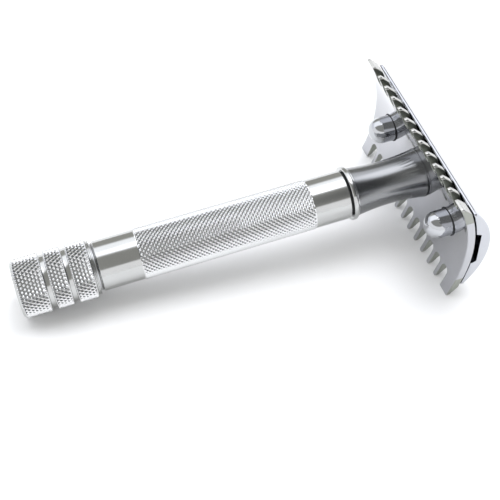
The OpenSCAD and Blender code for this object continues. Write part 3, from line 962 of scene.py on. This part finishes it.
def make_barrel():
    """Barrel: a tube whose grip carries a diamond knurl between two polished ends. The bevel at the
    neck is half as wide as the one at the knob."""
    handle = razor().handle
    low, high = span("barrel")
    r, bevel = handle.barrel_radius, handle.barrel_bevel
    crest = radius("barrel")
    grip = (low + handle.tail_plain, high - handle.head_plain)
    foot, lead = r - 0.01 * MM, 0.05 * MM
    socket, spigot_end = handle.spigot_radius + FIT, span("neck")[0] - FIT
    start = rounded([(low, handle.barrel_bore, 0), (low, r - bevel, 0.06 * MM), (low + bevel, r, SOFT),
                     (grip[0] - lead, r, 0), (grip[0], foot, 0)])
    end = rounded([(grip[1], foot, 0), (grip[1] + lead, r, 0), (high - bevel / 2, r, 0.1 * MM),
                   (high, r - bevel / 2, 0.04 * MM), (high, socket, 0)])
    bore = np.array([(high, socket), (spigot_end, socket), (spigot_end, handle.barrel_bore),
                     (low, handle.barrel_bore)])
    knurl = knurl_rows(*grip, foot, crest, handle.grip_depth, handle.grip_pitch, 0.2 * MM)
    profile = np.concatenate([plain_rows(start)[:-1], knurl, plain_rows(end)[1:], plain_rows(bore)[1:]])
    shell = Shell()
    knurled(shell, profile, handle.grip_starts, handle.grip_pitch)
    return shell.mesh("knurled_barrel")


# ---------------------------------------------------------------- knob

def make_knob():
    """Knob: three knurled bands with plain bevelled edges and round-bottomed grooves between."""
    handle = razor().handle
    low, high = span("knob")
    r, core = radius("knob"), radius("knob") - handle.knob_groove_depth
    bands = knob_bands(low, high)
    bevel, edge = handle.knob_bevel, 0.1 * MM
    foot = r - 0.02 * MM
    plug = radius("end_plug") + FIT
    parts = [plain_rows(rounded([(low, plug, 0), (low, r - bevel, 0.08 * MM), (low + bevel, foot, 0)]))]
    for i, (start, end) in enumerate(bands):
        begin = start + (bevel if i == 0 else edge)
        if i:
            parts.append(plain_rows(np.array([(start, core + 0.08 * MM), (start, r - edge),
                                              (begin, foot)])))
        parts.append(knurl_rows(begin, end - edge, foot, r, handle.knob_depth, handle.knob_pitch, edge))
        parts.append(plain_rows(np.array([(end - edge, foot), (end, r - edge)])))
        if i < len(bands) - 1:
            after = bands[i + 1][0]
            parts.append(plain_rows(rounded([(end, r - edge, 0), (end, core, SOFT),
                                             (after, core, SOFT), (after, core + 0.2 * MM, 0)])))
    hole, screw_hole, tapped = radius("spindle") + FIT, radius("knob_screw") + SOFT, 1.35 * MM
    floor = span("spindle")[0]
    shelf, well = floor - 1 * MM, span("knob_screw")[0] - 0.4 * MM
    parts.append(plain_rows(np.array([(high, r - edge), (high, hole), (floor, hole), (floor, tapped),
                                      (shelf, tapped), (shelf, screw_hole), (well, screw_hole),
                                      (well, plug), (low, plug)])))
    profile = np.concatenate(parts)
    shell = Shell()
    knurled(shell, profile, handle.knob_starts, handle.knob_pitch)
    return shell.mesh("banded_knob")


def knob_bands(low, high):
    """Start and end station of the knob's three bands."""
    handle = razor().handle
    second = low + handle.band_end + handle.knob_groove
    third = second + handle.band_middle + handle.knob_groove
    return ((low, low + handle.band_end), (second, second + handle.band_middle), (third, high))


def ring_shell(name, source, edge, groove=0.0):
    """Ring or disc with rounded outer edges, and a fine groove round its middle."""
    low, high = span(source)
    r = radius(source)
    hole = radius("spindle") + FIT
    mid = (low + high) / 2
    corners = [(low, hole, 0), (low, r, edge)]
    if groove:
        corners += [(mid - groove, r, groove / 2), (mid, r - groove, groove / 2),
                    (mid + groove, r, groove / 2)]
    corners += [(high, r, edge), (high, hole, 0)]
    shell = Shell()
    turned(shell, closed_profile(rounded(corners)), 144)
    return shell.mesh(name)


def make_plug():
    """End plug: a disc with a rounded rim and faint turned rings that die out in its middle."""
    low, high = span("end_plug")
    r = radius("end_plug")
    rim_width, ring_depth, ring_width = 0.2 * MM, 0.012 * MM, 0.35 * MM
    across_r = np.linspace(0, r - rim_width, 57)
    wave = 1 - np.cos(across_r / ring_width * 2 * math.pi)
    rings = ring_depth * wave * np.minimum(1, across_r / MM)
    face = np.column_stack([low + rings, across_r])
    rim_part = rounded([(low, r - rim_width, 0), (low, r, SOFT), (high, r, 0), (high, 0, 0)])
    shell = Shell()
    turned(shell, np.concatenate([face, rim_part]), 144)
    return shell.mesh("end_disc")


# ---------------------------------------------------------------- stage

def make_floor():
    """Pale floor that lies under the razor and reaches far past the view."""
    reach, cloud_tone = 3.0, 0.985
    mesh = bpy.data.meshes.new("pale_floor")
    mesh.from_pydata([(-reach, -reach, 0), (reach, -reach, 0), (reach, reach, 0), (-reach, reach, 0)],
                     [], [(0, 1, 2, 3)])
    floor = bpy.data.objects.new("pale_floor", mesh)
    material = bpy.data.materials.new("pale_floor")
    material.use_nodes = True
    tree = material.node_tree
    shader = tree.nodes["Principled BSDF"]
    shader.inputs["Roughness"].default_value = 0.9
    shader.inputs["Specular IOR Level"].default_value = 0.1
    coordinates = node(tree, "ShaderNodeTexCoord")
    cloud = node(tree, "ShaderNodeTexNoise", Scale=9.0, Detail=2.0)
    tree.links.new(coordinates.outputs["Object"], cloud.inputs["Vector"])
    tone = node(tree, "ShaderNodeMix", data_type="RGBA")
    colour = razor().stage.floor_tint
    tone.inputs["A"].default_value = (*[c * cloud_tone for c in colour], 1)
    tone.inputs["B"].default_value = (*colour, 1)
    tree.links.new(spread(tree, cloud.outputs["Fac"], 0, 1), tone.inputs["Factor"])
    tree.links.new(tone.outputs["Result"], shader.inputs["Base Color"])
    mesh.materials.append(material)
    bpy.context.scene.collection.objects.link(floor)


def soft_panel(name, towards, distance, size, power):
    """Area light that shines on the razor from a direction."""
    light = bpy.data.lights.new(name, "AREA")
    light.shape = "RECTANGLE"
    light.size, light.size_y = size
    light.energy = power
    panel = bpy.data.objects.new(name, light)
    out = np.array(towards, float)
    out /= np.linalg.norm(out)
    aim = np.array((0.0, 0.0, 0.008))
    panel.matrix_world = looking(aim + out * distance, -out, 0.0)
    bpy.context.scene.collection.objects.link(panel)
    return panel


def looking(eye, forward, roll):
    """Matrix of a camera or lamp at eye that looks along forward, turned by roll about it."""
    right = np.cross(forward, (0.0, 0.0, 1.0))
    right /= np.linalg.norm(right)
    up = np.cross(right, forward)
    turned_up = up * math.cos(roll) + right * math.sin(roll)
    turned_right = right * math.cos(roll) - up * math.sin(roll)
    columns = np.column_stack([turned_right, turned_up, -forward, eye])
    return Matrix([*columns.tolist(), (0, 0, 0, 1)])


def make_camera():
    """Camera on a sphere round its target, with no shift and no depth of field."""
    stage = razor().stage
    flat = math.cos(stage.elevation)
    back = np.array((math.sin(stage.azimuth) * flat, -math.cos(stage.azimuth) * flat,
                     math.sin(stage.elevation)))
    target = np.array((stage.target_x, stage.target_y, stage.target_z))
    lens = bpy.data.cameras.new("camera")
    lens.lens, lens.sensor_width = stage.lens, 36
    lens.clip_start = 0.005
    camera = bpy.data.objects.new("camera", lens)
    camera.matrix_world = looking(target + back * stage.distance, -back, stage.roll)
    bpy.context.scene.collection.objects.link(camera)
    bpy.context.scene.camera = camera


def toward(tree, direction, low, high):
    """From 0 to 1 as the sky direction's dot product with a direction goes from low to high."""
    coordinates = node(tree, "ShaderNodeTexCoord")
    product = node(tree, "ShaderNodeVectorMath", operation="DOT_PRODUCT")
    product.inputs[1].default_value = tuple(np.array(direction) / np.linalg.norm(direction))
    tree.links.new(coordinates.outputs["Generated"], product.inputs[0])
    ramp = node(tree, "ShaderNodeMapRange", interpolation_type="SMOOTHSTEP")
    ramp.inputs["From Min"].default_value = low
    ramp.inputs["From Max"].default_value = high
    tree.links.new(product.outputs["Value"], ramp.inputs["Value"])
    return ramp.outputs["Result"]


def shade(tree, colour, masks, grey):
    """Mixes a colour towards a grey where all masks are 1."""
    mask = masks[0]
    for other in masks[1:]:
        product = node(tree, "ShaderNodeMath", operation="MULTIPLY")
        tree.links.new(mask, product.inputs[0])
        tree.links.new(other, product.inputs[1])
        mask = product.outputs[0]
    mix = node(tree, "ShaderNodeMix", data_type="RGBA")
    tree.links.new(mask, mix.inputs["Factor"])
    tree.links.new(colour, mix.inputs["A"])
    mix.inputs["B"].default_value = (*grey, 1)
    return mix.outputs["Result"]


def make_surroundings():
    """Studio surroundings: white all round, with the lighter and darker zones below. They light
    matt surfaces with the fill's strength, and are mirrored with the sky's."""
    world = bpy.data.worlds.new("studio")
    world.use_nodes = True
    tree = world.node_tree
    near, up, down = (-0.35, -0.94, 0), (0, 0, 1), (0, 0, -1)
    near_side = (near, -0.05, 0.12)
    zones = (
        ([(up, 0.3, 0.5)], (1.7, 1.73, 1.8)),                          # ceiling
        ([((0.24, 0.2, 0.95), 0.93, 0.975)], (3.0, 3.05, 3.2)),        # lamp in the ceiling
        ([((0.1, 1, 0.2), 0.82, 0.92)], (0.5, 0.5, 0.47)),             # grey flag on the far side
        ([near_side], (1.3, 1.3, 1.32)),                               # wall on the near side
        ([near_side, (up, 0.44, 0.52)], (0.42, 0.42, 0.4)),            # grey flag above that wall
        ([((0.75, -0.35, 0.55), 0.7, 0.85)], (0.12, 0.125, 0.13)),     # dark flag on the right
        ([(down, 0, 0.05)], (1.05, 1.05, 1.05)),                       # table
    )
    white = node(tree, "ShaderNodeRGB")
    white.outputs[0].default_value = (1.2, 1.22, 1.3, 1)
    colour = white.outputs[0]
    for masks, grey in zones:
        colour = shade(tree, colour, [toward(tree, *mask) for mask in masks], grey)
    background = tree.nodes["Background"]
    tree.links.new(colour, background.inputs["Color"])
    ray = node(tree, "ShaderNodeLightPath")
    strength = node(tree, "ShaderNodeMapRange")
    strength.inputs["To Min"].default_value = razor().stage.sky_strength
    strength.inputs["To Max"].default_value = razor().stage.fill_strength
    tree.links.new(ray.outputs["Is Diffuse Ray"], strength.inputs["Value"])
    tree.links.new(strength.outputs["Result"], background.inputs["Strength"])
    bpy.context.scene.world = world
    bpy.context.scene.view_settings.view_transform = "Standard"


# ---------------------------------------------------------------- operators and panel

class RazorMakeCap(bpy.types.Operator):
    """Make the domed cap"""
    bl_idname = "razor.make_cap"
    bl_label = "Cap"

    def execute(self, context):
        metals = [finishes()["cap_chrome"], finishes()["seam_black"]]
        finish_piece(make_cap(), metals, "cap", "polished_chrome", "top_cap")
        return {"FINISHED"}


class RazorMakeCapFittings(bpy.types.Operator):
    """Make the cap's threaded stud and its two guide pins"""
    bl_idname = "razor.make_cap_fittings"
    bl_label = "Stud and guide pins"

    def execute(self, context):
        steel = [finishes()["turned_steel"]]
        finish_piece(make_stud(), steel, "cap", "steel", "cap_stud")
        for side, word in enumerate(("right", "left")):
            source = f"guide_pin_{word}"
            finish_piece(make_pin(side, f"bevelled_pin_{word}", source), steel, "cap", "steel", source)
        return {"FINISHED"}


class RazorMakePlate(bpy.types.Operator):
    """Make the comb plate"""
    bl_idname = "razor.make_plate"
    bl_label = "Comb plate"

    def execute(self, context):
        metals = [finishes()[name] for name in ("mirror_chrome", "ground_bevel", "slot_chrome",
                                                "seam_black")]
        finish_piece(make_plate(), metals, "handle", "polished_chrome", "base_plate",
                     smooth_below=math.radians(24))
        return {"FINISHED"}


class RazorMakeSleeves(bpy.types.Operator):
    """Make the two sleeves over the guide pins"""
    bl_idname = "razor.make_sleeves"
    bl_label = "Pin sleeves"

    def execute(self, context):
        metals = [finishes()["sleeve_chrome"], finishes()["seam_black"]]
        for side, word in enumerate(("right", "left")):
            finish_piece(make_sleeve(side, f"domed_sleeve_{word}"), metals, "handle",
                         "polished_chrome", f"pin_sleeve_{word}")
        return {"FINISHED"}


class RazorMakeNeck(bpy.types.Operator):
    """Make the waisted neck"""
    bl_idname = "razor.make_neck"
    bl_label = "Neck"

    def execute(self, context):
        metals = [finishes()[name] for name in ("neck_chrome", "seam_black", "plain_chrome")]
        finish_piece(make_neck(), metals, "handle", "turned_chrome", "neck")
        return {"FINISHED"}


class RazorMakeBarrel(bpy.types.Operator):
    """Make the knurled barrel"""
    bl_idname = "razor.make_barrel"
    bl_label = "Barrel"

    def execute(self, context):
        metals = [finishes()["grip_chrome"], finishes()["plain_chrome"]]
        finish_piece(make_barrel(), metals, "handle", "satin_knurl_chrome", "barrel")
        return {"FINISHED"}


class RazorMakeKnob(bpy.types.Operator):
    """Make the banded knob with its end plug, collar and thrust washer"""
    bl_idname = "razor.make_knob"
    bl_label = "Knob"

    def execute(self, context):
        metals = finishes()
        finish_piece(make_knob(), [metals["grip_chrome"], metals["plain_chrome"]], "knob",
                     "satin_knurl_chrome", "knob")
        finish_piece(make_plug(), [metals["plain_chrome"]], "knob", "polished_chrome", "end_plug")
        finish_piece(ring_shell("grooved_collar", "knob_collar", 0.12 * MM, 0.1 * MM),
                     [metals["plain_chrome"]], "knob", "polished_chrome", "knob_collar")
        finish_piece(ring_shell("thrust_ring", "thrust_washer", 0.05 * MM),
                     [metals["turned_steel"]], "knob", "steel", "thrust_washer")
        return {"FINISHED"}


class RazorFinishDrive(bpy.types.Operator):
    """Give the drive inside the handle its metal finishes"""
    bl_idname = "razor.finish_drive"
    bl_label = "Inner drive"

    def execute(self, context):
        metals = finishes()
        brass = ("head_bush", "end_bush", "draw_nut")
        steel = ("knob_screw", "spindle", "nut_pin", "tension_washer")
        for names, metal_name in ((brass, "turned_brass"), (steel, "turned_steel")):
            for name in names:
                materials = frame["nodes"][name].data.materials
                materials.clear()
                materials.append(metals[metal_name])
        return {"FINISHED"}


class RazorMakeStage(bpy.types.Operator):
    """Make the floor, the surroundings, the key light and the camera"""
    bl_idname = "razor.make_stage"
    bl_label = "Stage"

    def execute(self, context):
        make_floor()
        make_surroundings()
        key = soft_panel("key_light", (0.5, 0.25, 1.0), 0.7, (0.5, 0.5), razor().stage.key_power)
        key.visible_glossy = False
        make_camera()
        return {"FINISHED"}


STEPS = (RazorMakePlate, RazorMakeSleeves, RazorMakeNeck, RazorMakeBarrel, RazorMakeKnob,
         RazorMakeCap, RazorMakeCapFittings, RazorFinishDrive, RazorMakeStage)
GROUPS = {"head": RazorHeadSizes, "handle": RazorHandleSizes, "finishes": RazorFinishes,
          "stage": RazorStage}


class RazorSettings(bpy.types.PropertyGroup):
    """All settings of the razor, kept on the scene"""
    head: PointerProperty(type=RazorHeadSizes)
    handle: PointerProperty(type=RazorHandleSizes)
    finishes: PointerProperty(type=RazorFinishes)
    stage: PointerProperty(type=RazorStage)


class RazorPanel(bpy.types.Panel):
    """Panel in the 3D view's sidebar with the razor's settings and steps"""
    bl_idname = "VIEW3D_PT_razor"
    bl_label = "Safety razor"
    bl_space_type = "VIEW_3D"
    bl_region_type = "UI"
    bl_category = "Razor"

    def draw(self, context):
        for kind in STEPS:
            self.layout.operator(kind.bl_idname)
        for name in GROUPS:
            box = self.layout.box()
            box.label(text=name.title())
            settings = getattr(context.scene.razor, name)
            for key in type(settings).__annotations__:
                box.prop(settings, key)


CLASSES = (*GROUPS.values(), RazorSettings, *STEPS, RazorPanel)


def register():
    for kind in CLASSES:
        bpy.utils.register_class(kind)
    bpy.types.Scene.razor = PointerProperty(type=RazorSettings)


def unregister():
    del bpy.types.Scene.razor
    for kind in reversed(CLASSES):
        bpy.utils.unregister_class(kind)


def main():
    register()
    for kind in STEPS:
        group, name = kind.bl_idname.split(".")
        getattr(getattr(bpy.ops, group), name)()


if __name__ == "__main__":
    main()
